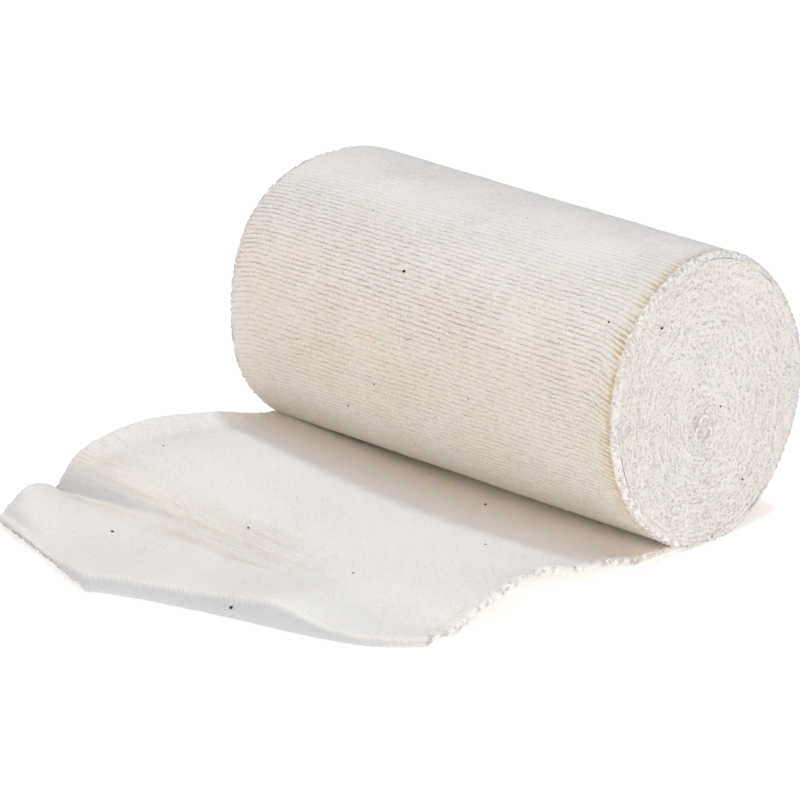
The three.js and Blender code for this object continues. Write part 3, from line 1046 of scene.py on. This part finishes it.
@dataclass
class LooseEnd:
    """The loose end of the cloth: a sheet that leaves the roll at the bottom and lies in front of it."""

    thick: float = 1.7
    pressed: float = 1.0

    # Places along X where the sections give their heights, then the sections from under the roll forwards
    places: tuple[float, ...] = (-50, -45, -30, -13, 8, 32, 42, 50)
    sections: tuple[Section, ...] = (
        Section(8.0, 8.0, 0, (2.1, 2.1, 2.1, 2.1, 2.1, 2.1, 2.1, 2.1)),
        Section(5.0, 5.0, 0, (0.7, 0.7, 0.7, 0.7, 0.7, 0.7, 0.7, 0.7)),
        Section(2.5, 2.5, 0, (0, 0, 0, 0, 0, 0, 0, 0)),
        Section(-7.0, -7.0, 0, (0, 0, 0, 0, 0, 0, 0, 0)),
        Section(-13.0, -14.0, 0, (2.2, 1.9, 0.9, 0.2, 0, 0, 0, 0)),
        Section(-19.0, -20.0, 0, (3.0, 2.6, 1.5, 0.6, 0.2, 0.3, 0.3, 0.4)),
        Section(-26.0, -27.0, 0, (4.7, 4.0, 2.6, 1.3, 0.7, 1.0, 1.4, 2.1)),
        Section(-36.0, -35.0, 0, (7.1, 6.1, 4.4, 2.6, 1.7, 1.9, 2.3, 2.9)),
        Section(-46.0, -43.0, 0, (8.9, 7.9, 6.1, 3.8, 2.7, 2.9, 3.8, 5.1)),
        Section(-53.0, -50.0, 0, (9.3, 8.6, 7.0, 4.5, 3.1, 3.0, 3.6, 5.2)),
        Section(-60.0, -57.0, 0, (8.8, 8.6, 7.0, 4.5, 3.0, 2.7, 2.8, 3.6)),
        Section(-66.5, -63.5, 0, (7.2, 7.5, 6.3, 4.1, 2.8, 2.4, 2.2, 2.0)),
        Section(-70.4, -68.0, 0, (4.2, 5.0, 4.7, 3.4, 2.5, 2.3, 2.1, 1.3)),
        Section(-72.6, -71.0, 0, (1.4, 1.9, 2.8, 2.8, 2.4, 2.5, 2.1, 1.2)),
        Section(-75.0, -73.0, 4, (3.4, 2.7, 2.0, 2.3, 2.4, 3.1, 2.1, 1.3)),
        Section(-79.5, -75.0, 9, (4.5, 3.8, 2.1, 2.0, 2.6, 3.9, 2.2, 1.7)),
        Section(-83.5, -76.6, 12.5, (2.3, 2.5, 1.3, 1.9, 2.7, 4.3, 2.3, 2.0)),
        Section(-86.0, -78.0, 14.2, (0.5, 0.8, 0.4, 1.9, 2.5, 4.3, 2.3, 2.1)),
    )
    front: Section = Section(-87.4, -78.8, 14.8)

    point_x: float = -13.0
    reach: float = 1.45
    hollow: float = 1.6116
    cut_setback: float = 0.8
    corner_x: float = 38.0
    corner_setback: float = 4.6
    corner_press: float = 0.5
    fold_square: float = 0.6
    turned_length: float = 40.0
    turned_way: tuple[float, float] = (-0.6, 0.8)

    edge_steps: tuple[float, ...] = (0.08, 0.2, 0.4, 0.7, 1.1, 1.6, 2.2, 2.9)
    column_step: float = 1.05
    row_step: float = 0.32
    rib_pitch: float = 0.98
    rib_depth: float = 0.06
    edge_round: float = 0.75
    hidden: float = 20.0
    loop_spacing: float = 0.45
    loop_radius: float = 0.38
    loop_wire: float = 0.14
    cut_yarns: int = 240
    tuft_yarns: int = 9
    tuft_radius: float = 0.9
    tuft_wire: float = 0.09

    samples: int = 1500
    surface: Array = field(default=None, repr=False)
    columns: Array = field(default=None, repr=False)
    far_length: float = 0.0
    near_length: float = 0.0

    def __post_init__(self) -> None:
        """Works out the middle surface of the cloth, column by column, at even steps of its length."""
        self.columns = np.linspace(-HALF_WIDTH, HALF_WIDTH, 101)
        runs = self.column_runs()
        totals = [float(np.sum(np.linalg.norm(np.diff(run, axis=0), axis=1))) for run in runs]
        self.far_length, self.near_length = totals[0], totals[-1]
        shares = np.linspace(0, 1, self.samples)
        grid = []
        for run in runs:
            steps = np.concatenate([[0.0], np.cumsum(np.linalg.norm(np.diff(run, axis=0), axis=1))])
            grid.append(np.stack([np.interp(shares * steps[-1], steps, run[:, k]) for k in range(3)], axis=1))
        self.surface = np.array(grid)

    def lead_share(self, x: Array) -> Array:
        """Says how much of a section's lead shows: all of it at the point and none at a selvedge."""
        past = x - self.point_x
        before = 1 + past / (self.point_x + HALF_WIDTH)
        part = np.clip(past / (HALF_WIDTH - self.point_x), 0, 1)
        after = 1 - part**self.reach - self.hollow * part * (1 - part) ** 3
        return np.where(past < 0, before, after)

    def column_runs(self) -> list[Array]:
        """Follows each column of the cloth from under the roll, over the front and along the turned corner.

        Returns:
            For each column, the points through the middle of the cloth's thickness, in millimetres.
        """
        steps = np.arange(len(self.sections), dtype=float)
        along = np.linspace(0, len(self.sections) - 1, 400)
        far = through(steps, [section.far_y for section in self.sections], along)
        near = through(steps, [section.near_y for section in self.sections], along)
        ahead = through(steps, [section.lead for section in self.sections], along)
        given = through(steps, np.array([section.under for section in self.sections]).T, along)
        under = np.maximum(through(self.places, given.T, self.columns), 0)
        share = (self.columns + HALF_WIDTH) / CLOTH_WIDTH
        lead = self.lead_share(self.columns)
        y = far[:, None] + (near - far)[:, None] * share - ahead[:, None] * lead
        under = under * (1 - 1.15 * self.pressed_at(self.columns, y))
        z = under + self.half_thick(self.columns, y)
        front = self.front.far_y + (self.front.near_y - self.front.far_y) * share - self.front.lead * lead
        past_corner = (self.columns - self.corner_x) / (HALF_WIDTH - self.corner_x)
        corner = self.corner_setback * np.clip(past_corner, 0, 1) ** 2
        y, front = y + corner * smooth_step(-58, -76, y), front + corner

        # The cloth ends in a plain cut beyond its point, and turns under in a fold on the near side of it
        runs = []
        for j, x in enumerate(self.columns):
            over = [np.array([x, y[i, j], z[i, j]]) for i in range(len(along))]
            top, turned = under[-1, j], x >= self.point_x
            setback = top / 2 if turned else self.cut_setback
            for degrees in range(78, -91 if turned else -1, -12):
                rise, run = math.sin(math.radians(degrees)), abs(math.cos(math.radians(degrees)))
                if turned:
                    rise = math.copysign(abs(rise) ** self.fold_square, rise)
                    run = run**self.fold_square
                height = top * (1 + rise) / 2 if turned else top * rise
                place = front[j] + setback * (1 - run)
                over.append(np.array([x, place, height + self.half_thick(x, place)]))
            if x > self.point_x:
                length = self.turned_length * (x - self.point_x) / (HALF_WIDTH - self.point_x)
                foot, way = over[-1], np.array([*self.turned_way, 0.0])
                for part in (0.15, 0.3, 0.5, 0.75, 1.0):
                    place = foot + way * length * part
                    place[2] = self.half_thick(x, place[1])
                    over.append(place)
            runs.append(np.array(over))
        return runs

    def pressed_at(self, x: Array, y: Array) -> Array:
        """Says how much flatter the cloth lies at its near corner, as a share of its thickness."""
        return self.corner_press * smooth_step(22, 36, x) * smooth_step(-62, -74, y)

    def half_thick(self, x: Array, y: Array) -> Array:
        """Says half how thick the cloth is: pressed under the roll and at the near corner, full elsewhere."""
        full = self.pressed + (self.thick - self.pressed) * smooth_step(-7, -17, y)
        return full * (1 - self.pressed_at(x, y)) / 2

    def flat_length(self, x: Array) -> Array:
        """Says how long the cloth is at a place across it, from under the roll to the slanted cut end."""
        return self.far_length + (self.near_length - self.far_length) * (x + HALF_WIDTH) / CLOTH_WIDTH

    def on_surface(self, x: Array, share: Array) -> Array:
        """Reads the middle surface.

        Args:
            x: the place across the flat cloth.
            share: the share of the way along it.

        Returns:
            The points, one row each, in millimetres.
        """
        last_column, last_row = len(self.columns) - 1, self.samples - 1
        column = np.clip((x + HALF_WIDTH) / CLOTH_WIDTH * last_column, 0, last_column - 0.001)
        row = np.clip(share * last_row, 0, last_row - 0.001)
        i, j = column.astype(int), row.astype(int)
        s, t = (column - i)[:, None], (row - j)[:, None]
        grid = self.surface
        low = grid[i, j] * (1 - t) + grid[i, j + 1] * t
        high = grid[i + 1, j] * (1 - t) + grid[i + 1, j + 1] * t
        return low * (1 - s) + high * s

    def frame_at(self, x: Array, share: Array) -> tuple[Array, Array]:
        """Reads the middle surface and the way that its upper side faces there.

        Args:
            x: the place across the flat cloth.
            share: the share of the way along it.

        Returns:
            The points and the unit normals, one row each.
        """
        step, aside = 0.004, 0.6
        before, behind = np.minimum(share + step, 1), np.maximum(share - step, 0)
        right, left = np.minimum(x + aside, HALF_WIDTH), np.maximum(x - aside, -HALF_WIDTH)
        along = self.on_surface(x, before) - self.on_surface(x, behind)
        across = self.on_surface(right, share) - self.on_surface(left, share)
        return self.on_surface(x, share), unit(np.cross(along, across))

    def relief(self, x: Array, length: Array, here: Array) -> tuple[Array, Array]:
        """Works out the small ups and downs of the cloth's upper side.

        Args:
            x: the place across the flat cloth.
            length: the place along it.
            here: the points of the middle surface.

        Returns:
            The heights in millimetres, and how much painted shade each point takes, from 0 to 1: in the rib
            grooves, the sunk band, the troughs of the small folds and over the valley behind the last fold.
        """
        y = here[:, 1]
        rib = length / self.rib_pitch + 0.25 * Waves(91).at(x / 8, length / 2.4)
        # Waves set how deep the rib grooves are, and so how much painted shade they take
        brushed_and_front_shade = 0.5 + 0.5 * Waves(92).at(x / 12, length / 9)
        broken = np.clip(0.5 + 0.6 * Waves(93).at(x / 2.4, np.rint(rib) * 7.7), 0, 1)
        from_far, from_near = x + HALF_WIDTH, HALF_WIDTH - x
        at_selvedge = 1 + 2.4 * smooth_step(6, 1, np.minimum(from_far, from_near))
        phase = np.abs(np.sin(math.pi * rib)) ** 0.7
        dip = self.rib_depth * at_selvedge * broken * (0.4 + brushed_and_front_shade) * (1 - phase)

        # The far selvedge curls up where the cloth is humped, and a faint sunk band, painted darker as shade,
        # follows the near one
        humped = smooth_step(-16, -32, y) * smooth_step(-73, -64, y)
        lip = 0.75 * humped * (hump(from_far, 1.0, 1.6) - 0.8 * hump(from_far, 5.5, 2.4))
        crimp = 0.16 * humped * smooth_step(6, 0.5, from_far) * Waves(94).at(x / 40, length / 1.3)
        band = 0.13 * hump(from_near, 2.3, 0.3) * np.clip(0.5 + Waves(95).at(x * 0, length / 4), 0, 1)

        # Small folds run across the valley behind the last fold, and their troughs and the whole valley are
        # painted darker as shade
        slope = smooth_step(-58, -66, y) * smooth_step(-79, -74, y) * smooth_step(26, 0, x)
        folds = slope * (0.15 * Waves(96).at(x / 26, y / 1.1) + 0.12 * Waves(97).at(x / 7, y / 0.6))
        soft = 0.16 * Waves(98).at(x / 16, length / 12) + 0.05 * Waves(99).at(x / 5, length / 4)
        height = lip + crimp - band + folds + soft - dip
        return height, np.clip(dip * 2 + band * 2 + np.maximum(-folds, 0) * 1.5 + 0.2 * slope, 0, 1)

    def wear(self, x: Array, length: Array, y: Array) -> Array:
        """Says how clear the crimp lines are, where rubbing and brushing has left them faint."""
        left = 0.2 + 0.14 * Waves(102).at(x / 14, length / 10)
        return np.clip(left + 0.25 * smooth_step(-20, -6, y), 0.05, 1)

    def front_shade_at(self, here: Array, normal: Array) -> Array:
        """Says where a cool grey is painted as shade: on the front of the last fold, where it faces away from
        the light.
        """
        return smooth_step(0.3, 0.8, -normal[:, 1]) * smooth_step(-60, -75, here[:, 1])

    def cut_flat(self) -> bpy.types.Mesh:
        """Cuts the cloth out flat: a grid, cut off slantwise, with its upper side at a height of 1.

        Returns:
            The flat mesh, in millimetres but for its height.
        """
        across = graded(-HALF_WIDTH, HALF_WIDTH, self.column_step, self.edge_steps)
        longest = max(self.far_length, self.near_length) + 1
        rows = int(longest / self.row_step)
        form = flat_grid(len(across) - 1, rows)
        for vert in form.verts:
            vert.co.x = across[int(round(vert.co.x * (len(across) - 1)))]
            vert.co.y *= longest
        slant = Vector((-(self.near_length - self.far_length) / CLOTH_WIDTH, 1, 0)).normalized()
        bmesh.ops.bisect_plane(
            form,
            geom=form.verts[:] + form.edges[:] + form.faces[:],
            dist=1e-5,
            plane_co=(-HALF_WIDTH, self.far_length, 0),
            plane_no=slant,
            clear_outer=True,
        )
        raised = bmesh.ops.extrude_face_region(form, geom=form.faces[:], use_keep_orig=True)["geom"]
        lifted = [part for part in raised if isinstance(part, bmesh.types.BMVert)]
        bmesh.ops.translate(form, verts=lifted, vec=(0, 0, 1))
        bmesh.ops.recalc_face_normals(form, faces=form.faces[:])
        return mesh_of("loose_end", form)

    def build_sheet(self, finish: bpy.types.Material) -> bpy.types.Object:
        """Builds the sheet: lays its flat cut on the folds, with its ribs, creases and ragged edges.

        Args:
            finish: the cotton of the cloth's face.

        Returns:
            The piece.
        """
        mesh = self.cut_flat()
        flat = read_places(mesh)
        x, length, upper = flat[:, 0], flat[:, 1], flat[:, 2] > 0.5
        to_cut = self.flat_length(x) - length
        share = length / self.flat_length(x)
        here, normal = self.frame_at(x, share)
        height, groove = self.relief(x, length, here)

        to_edge = np.minimum(np.minimum(HALF_WIDTH - np.abs(x), to_cut), self.edge_round)
        rounded = np.sqrt(np.clip(1 - (1 - to_edge / self.edge_round) ** 2, 0, 1))
        half = self.half_thick(x, here[:, 1]) * (0.28 + 0.72 * rounded)
        ragged = 0.42 * Waves(101).at(length / 1.1, x / 1.3) * (1 - rounded)
        under_roll = smooth_step(-4, -16, here[:, 1])
        shown = upper * under_roll
        reach = np.where(upper, half + height * rounded * shown, -half)
        places = here + normal * reach[:, None]
        at_cut = to_cut < 1
        places[:, 0] += np.where(at_cut, 0, np.sign(x) * ragged)
        places[:, 1] += np.where(at_cut & (x < self.point_x), ragged + 0.5 * (1 - rounded), 0)
        places[:, 2] = np.maximum(places[:, 2], 0.0)
        set_places(mesh, places * MM)
        # The grooves, the band, the fold troughs and the valley take their painted shade through relief
        set_shade(mesh, "relief", np.where(upper, 1.06 - groove * rounded, 0.95))
        set_shade(mesh, "crimp", self.wear(x, length, here[:, 1]) * rounded)
        # The front of the last fold is kept for its cool grey painted shade
        set_shade(mesh, "brushed_and_front_shade", self.front_shade_at(here, normal))
        set_cloth_map(mesh, length, x + HALF_WIDTH)
        return show(mesh, finish)

    def declare(self, sheet: bpy.types.Object, trim: list[bpy.types.Object]) -> None:
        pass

    def build_edge_loops(self, finish: bpy.types.Material) -> bpy.types.Object:
        """Sets the small loops and cut yarns along both selvedges and the cut end.

        Args:
            finish: the cotton of the selvedge.

        Returns:
            The piece.
        """
        chance = np.random.default_rng(111)
        xs, lengths, ways = [], [], []
        for end, total in ((End.FAR, self.far_length), (End.NEAR, self.near_length)):
            count = int((total - self.hidden - 2) / self.loop_spacing)
            lengths.append(chance.uniform(self.hidden, total - 1, count))
            xs.append(np.full(count, end.value * (HALF_WIDTH - 0.3)))
            ways.append(np.tile([float(end.value), 0.0], (count, 1)))
        count = self.cut_yarns
        cut_x = chance.uniform(-HALF_WIDTH + 1, HALF_WIDTH - 1, count)
        xs.append(cut_x)
        lengths.append(self.flat_length(cut_x) - 0.3)
        ways.append(np.tile([0.0, 1.0], (count, 1)))
        x, length, way = np.concatenate(xs), np.concatenate(lengths), np.concatenate(ways)
        count = len(x)

        share = length / self.flat_length(x)
        here, normal = self.frame_at(x, share)
        inner_x = np.clip(x - way[:, 0] * 0.8, -HALF_WIDTH, HALF_WIDTH)
        on = self.on_surface(inner_x, share - way[:, 1] * 0.008)
        out = unit(here - on) + normal * chance.uniform(-0.5, 0.7, count)[:, None]
        out = unit(out + chance.normal(0, 0.2, (count, 3)))
        side = unit(np.cross(out, normal + chance.normal(0, 0.5, (count, 3))))
        along = np.cross(side, out)
        scale = chance.uniform(0.7, 1.2, count)[:, None]
        here = here + normal * chance.uniform(-0.4, 0.5, count)[:, None]
        here[:, 2] = np.maximum(here[:, 2], 0.25)
        axes = np.stack([along * scale, side * scale, out * scale], axis=1)
        shades = chance.uniform(0.9, 1.12, count)
        form = arch(self.loop_radius, self.loop_wire)
        mesh = strew("loose_end_loops", form, here, axes, shades)
        return show(mesh, finish)

    def build_tuft(self, finish: bpy.types.Material) -> bpy.types.Object:
        """Sets a small tuft of cut yarn ends at the corner of the cut end.

        Args:
            finish: the cotton of the selvedge.

        Returns:
            The piece.
        """
        chance = np.random.default_rng(141)
        corner = self.on_surface(np.array([self.point_x]), np.array([0.998]))[0]
        count = self.tuft_yarns
        here = corner + chance.normal(0, 0.25, (count, 3)) * [1.6, 0.6, 0.5]
        here[:, 2] = np.maximum(here[:, 2], 0.3)
        out = unit(np.array([-0.1, -1.0, 0.05]) + chance.normal(0, 0.35, (count, 3)))
        side = unit(np.cross(out, chance.normal(0, 1, (count, 3))))
        scale = chance.uniform(0.6, 1.1, count)[:, None, None]
        axes = np.stack([np.cross(side, out), side, out], axis=1) * scale
        form = arch(self.tuft_radius, self.tuft_wire, 70, 4, sides=4)
        mesh = strew("loose_end_tuft", form, here, axes, np.ones(count))
        return show(mesh, finish)


@dataclass
class Nap:
    """Fine fibres that stand off the cloth all over, and more at its edges."""

    roll: WoundRoll
    loose_end: LooseEnd
    on_side: int = 2600
    on_ends: int = 1300
    on_loose_end: int = 2200
    curl: float = 0.7
    fibre: float = 0.02

    def build(self, finish: bpy.types.Material) -> bpy.types.Object:
        """Strews the fibres over the roll, its ends and the loose end.

        Args:
            finish: the cotton of the fibres.

        Returns:
            The piece.
        """
        chance = np.random.default_rng(121)
        roll, cloth = self.roll, self.loose_end
        angle = roll.angle_at(chance.uniform(0, roll.girth, self.on_side))
        x = chance.uniform(-1, 1, self.on_side)
        x = np.sign(x) * (1 - (1 - np.abs(x)) ** 1.4) * (roll.half_length - 0.3)
        y, z = roll.outline(angle, x, roll.rim_inset(x) + 0.08)
        here = [np.stack([x + roll.lean(x, y, z), y, z], axis=1)]
        outs = [roll.outwards(y, z)]
        for end in End:
            turn = roll.turns_shown * (1 - np.sqrt(chance.uniform(0.01, 1, self.on_ends)))
            angle = roll.angle_at(chance.uniform(0, roll.girth, self.on_ends))
            here.append(roll.end_place(end, turn, angle, np.full(self.on_ends, 0.05)))
            outs.append(end.way(self.on_ends))
        x = chance.uniform(-1, 1, self.on_loose_end)
        x = np.sign(x) * (1 - (1 - np.abs(x)) ** 1.6) * (HALF_WIDTH - 0.2)
        share = chance.uniform(0.2, 0.72, self.on_loose_end)
        place, normal = cloth.frame_at(x, share)
        here.append(place + normal * (cloth.thick / 2 - 0.02))
        outs.append(normal)

        here, out = np.concatenate(here), np.concatenate(outs)
        count = len(here)
        lie = unit(np.cross(out, chance.normal(0, 1, (count, 3))))
        lift = chance.uniform(0.1, 0.75, count)[:, None]
        up = unit(out * np.sqrt(lift) + lie * 0.3)
        side = unit(np.cross(up, lie))
        lie = np.cross(side, up)
        size = chance.uniform(0.5, 1.15, count)[:, None]
        axes = np.stack([lie * size, side, up * size], axis=1)
        form = arch(self.curl, self.fibre, 80, 2)
        bmesh.ops.translate(form, verts=form.verts, vec=(-self.curl, 0, 0))
        mesh = strew("nap", form, here, axes, np.full(count, 1.1))
        return show(mesh, finish)


@dataclass
class SeedFlecks:
    """Dark flecks of cotton seed that stay in unbleached cloth."""

    roll: WoundRoll
    loose_end: LooseEnd

    # Place along the roll, degrees round it, and half length of the fleck
    on_roll: tuple[tuple[float, float, float], ...] = (
        (-7.1, 143, 0.4),
        (-10.6, 190, 0.2),
        (-19.4, 205, 0.26),
        (43.3, 138, 0.26),
    )
    # Places along Y and Z, and half length
    on_end: tuple[tuple[float, float, float], ...] = (
        (-12.9, 45, 0.34),
        (9.3, 9.8, 0.26),
        (3.4, 25.7, 0.2),
    )
    # Place across the cloth, share of the way along it, and half length
    on_loose_end: tuple[tuple[float, float, float], ...] = (
        (11.5, 0.232, 0.3),
        (29.5, 0.37, 0.26),
        (16.5, 0.819, 0.38),
        (-25.0, 0.862, 0.34),
        (-5.5, 0.657, 0.26),
        (-39.5, 0.62, 0.22),
        (22.5, 0.595, 0.2),
    )
    strewn: int = 70
    broad: float = 0.7
    flat: float = 0.5

    def build(self, finish: bpy.types.Material) -> bpy.types.Object:
        """Sets the flecks: a few listed, and the rest strewn over the whole roll.

        Args:
            finish: the brown of the seeds.

        Returns:
            The piece.
        """
        chance = np.random.default_rng(131)
        roll = self.roll
        by_hand = np.array(self.on_roll)
        x = np.concatenate([by_hand[:, 0], chance.uniform(-47, 47, self.strewn)])
        degrees = np.concatenate([by_hand[:, 1], chance.uniform(-60, 220, self.strewn)])
        size = np.concatenate([by_hand[:, 2], chance.uniform(0.06, 0.15, self.strewn)])
        y, z = roll.outline(np.radians(degrees), x, roll.rim_inset(x) + 0.05)
        out = roll.outwards(y, z)
        here = [np.stack([x + roll.lean(x, y, z), y, z], axis=1)]

        faced = np.array(self.on_end)
        x = np.full(len(faced), roll.half_length + 0.12)
        here.append(np.stack([x + roll.lean(x, faced[:, 0], faced[:, 1]), faced[:, 0], faced[:, 1]], axis=1))
        laid = np.array(self.on_loose_end)
        place, normal = self.loose_end.frame_at(laid[:, 0], laid[:, 1])
        here.append(place + normal * (self.loose_end.thick / 2 + 0.05))
        here, out = np.concatenate(here), unit(np.concatenate([out, End.NEAR.way(len(faced)), normal]))
        size = np.concatenate([size, faced[:, 2], laid[:, 2]])[:, None]
        lie = unit(np.cross(out, chance.normal(0, 1, (len(here), 3))))
        side = np.cross(out, lie)
        axes = np.stack([lie * size, side * size * self.broad, out * size * self.flat], axis=1)
        form = bmesh.new()
        bmesh.ops.create_icosphere(form, subdivisions=2, radius=1.0)
        mesh = strew("seed_flecks", form, here, axes, np.ones(len(here)))
        return show(mesh, finish)


@dataclass(frozen=True)
class Panel:
    """A round soft light that faces the bandage."""

    name: str
    place: tuple[float, float, float]
    across: float
    power: float
    colour: Colour
    facing: tuple[float, float, float] = (0.0, -0.03, 0.02)

    def build(self) -> None:
        """Hangs the light."""
        lamp = bpy.data.lights.new(self.name, "AREA")
        lamp.shape, lamp.size = "DISK", self.across
        lamp.energy, lamp.color = self.power, self.colour
        hung = bpy.data.objects.new(self.name, lamp)
        hung.location = self.place
        away = Vector(self.place) - Vector(self.facing)
        hung.rotation_euler = away.to_track_quat("Z", "Y").to_euler()
        bpy.context.scene.collection.objects.link(hung)


@dataclass
class Studio:
    """The pale floor, the soft light and the camera."""

    azimuth: float = 44.5
    elevation: float = 19.9
    distance: float = 1.1
    lens: float = 257.0
    move_right: float = -0.02125
    move_up: float = 0.01415
    floor_size: float = 8.0
    sun_way: tuple[float, float, float] = (0.04, 0.19, 0.95)
    sun_energy: float = 0.86
    sun_colour: Colour = (0.72, 0.875, 1.0)
    sun_degrees: float = 8.0
    sky: Colour = (0.42, 0.335, 0.28)
    floor_glow: float = 0.33
    panels: tuple[Panel, ...] = (
        Panel("right_panel", (1.5, -0.4, 0.35), 1.2, 4.2, (0.78, 0.83, 0.95)),
        Panel("left_panel", (-1.4, -0.7, 0.4), 1.2, 2.7, (1.0, 0.69, 0.55)),
        Panel("front_panel", (0.8, -1.1, 0.65), 1.2, 8.4, (1.0, 0.98, 0.9)),
        Panel("top_panel", (0.0, -0.1, 1.6), 1.4, 6.2, (0.37, 0.68, 1.0)),
    )

    def build_camera(self) -> None:
        """Sets the camera at the photograph's viewing angle."""
        turn, rise = math.radians(self.azimuth), math.radians(self.elevation)
        back = Vector((math.sin(turn) * math.cos(rise), -math.cos(turn) * math.cos(rise), math.sin(rise)))
        right = Vector((math.cos(turn), math.sin(turn), 0))
        up = back.cross(right)
        camera = bpy.data.objects.new("camera", bpy.data.cameras.new("camera"))
        camera.data.lens = self.lens
        camera.data.sensor_width = 36
        camera.data.clip_start, camera.data.clip_end = 0.01, 50
        axes = Matrix((right, up, back)).transposed()
        place = back * self.distance + right * self.move_right + up * self.move_up
        camera.matrix_world = Matrix.Translation(place) @ axes.to_4x4()
        bpy.context.scene.collection.objects.link(camera)
        bpy.context.scene.camera = camera

    def build_floor(self, finish: bpy.types.Material) -> None:
        """Lays the floor under the bandage."""
        form = bmesh.new()
        bmesh.ops.create_grid(form, x_segments=4, y_segments=4, size=self.floor_size / 2)
        mesh = mesh_of("floor", form)
        mesh.materials.append(finish)
        floor = bpy.data.objects.new("floor", mesh)
        bpy.context.scene.collection.objects.link(floor)

    def build_light(self) -> None:
        """Hangs the key light overhead and the soft panels, and sets the room's even light."""
        scene = bpy.context.scene
        scene.view_settings.view_transform = "Standard"
        sun = bpy.data.objects.new("key", bpy.data.lights.new("key", "SUN"))
        sun.data.energy = self.sun_energy
        sun.data.angle = math.radians(self.sun_degrees)
        sun.data.color = self.sun_colour
        sun.rotation_euler = Vector(self.sun_way).to_track_quat("Z", "Y").to_euler()
        scene.collection.objects.link(sun)
        for panel in self.panels:
            panel.build()
        world = bpy.data.worlds.new("room")
        scene.world = world
        world.use_nodes = True
        back = world.node_tree.nodes["Background"]
        back.inputs["Color"].default_value = (*self.sky, 1)
        back.inputs["Strength"].default_value = 1.0


def main() -> None:
    """Builds the camera, the bandage and the studio in order, and reports each piece."""
    logging.basicConfig(level=logging.INFO, format="%(name)s: %(message)s")
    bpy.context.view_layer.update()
    studio = Studio()
    studio.build_camera()

    face = CottonFinish("cotton_face").build()
    selvedge = CottonFinish(
        "cotton_selvedge",
        ridge=(0.89, 0.865, 0.83),
        line_shade=0.0,
        line_depth=0.0,
        grain_tint=0.36,
        speck_tint=0.3,
    ).build()
    brown, white = (0.045, 0.028, 0.018), (0.93, 0.93, 0.93)
    seed = PlainFinish("seed_brown", brown, uneven=0.4, grain=0.0003, roughness=0.7).build()
    pale = PlainFinish("pale_floor", white, uneven=0.01, grain=0.4, glow=studio.floor_glow).build()

    roll, loose_end = WoundRoll(), LooseEnd()
    pieces = [roll.build_side(face)]
    for end in End:
        pieces.append(roll.build_end(end, selvedge))
        pieces.append(roll.build_loops(end, selvedge))
        pieces.append(roll.build_rim_loops(end, selvedge))
    pieces.append(roll.build_heart(selvedge))
    sheet = loose_end.build_sheet(face)
    trim = [loose_end.build_edge_loops(selvedge), loose_end.build_tuft(selvedge)]
    loose_end.declare(sheet, trim)
    pieces += [sheet, *trim]
    pieces.append(Nap(roll, loose_end).build(selvedge))
    pieces.append(SeedFlecks(roll, loose_end).build(seed))
    for piece in pieces:
        faces = sum(len(face.vertices) - 2 for face in piece.data.polygons)
        log.info("%s: %d triangles", piece.name, faces)

    studio.build_floor(pale)
    studio.build_light()


if __name__ == "__main__":
    main()
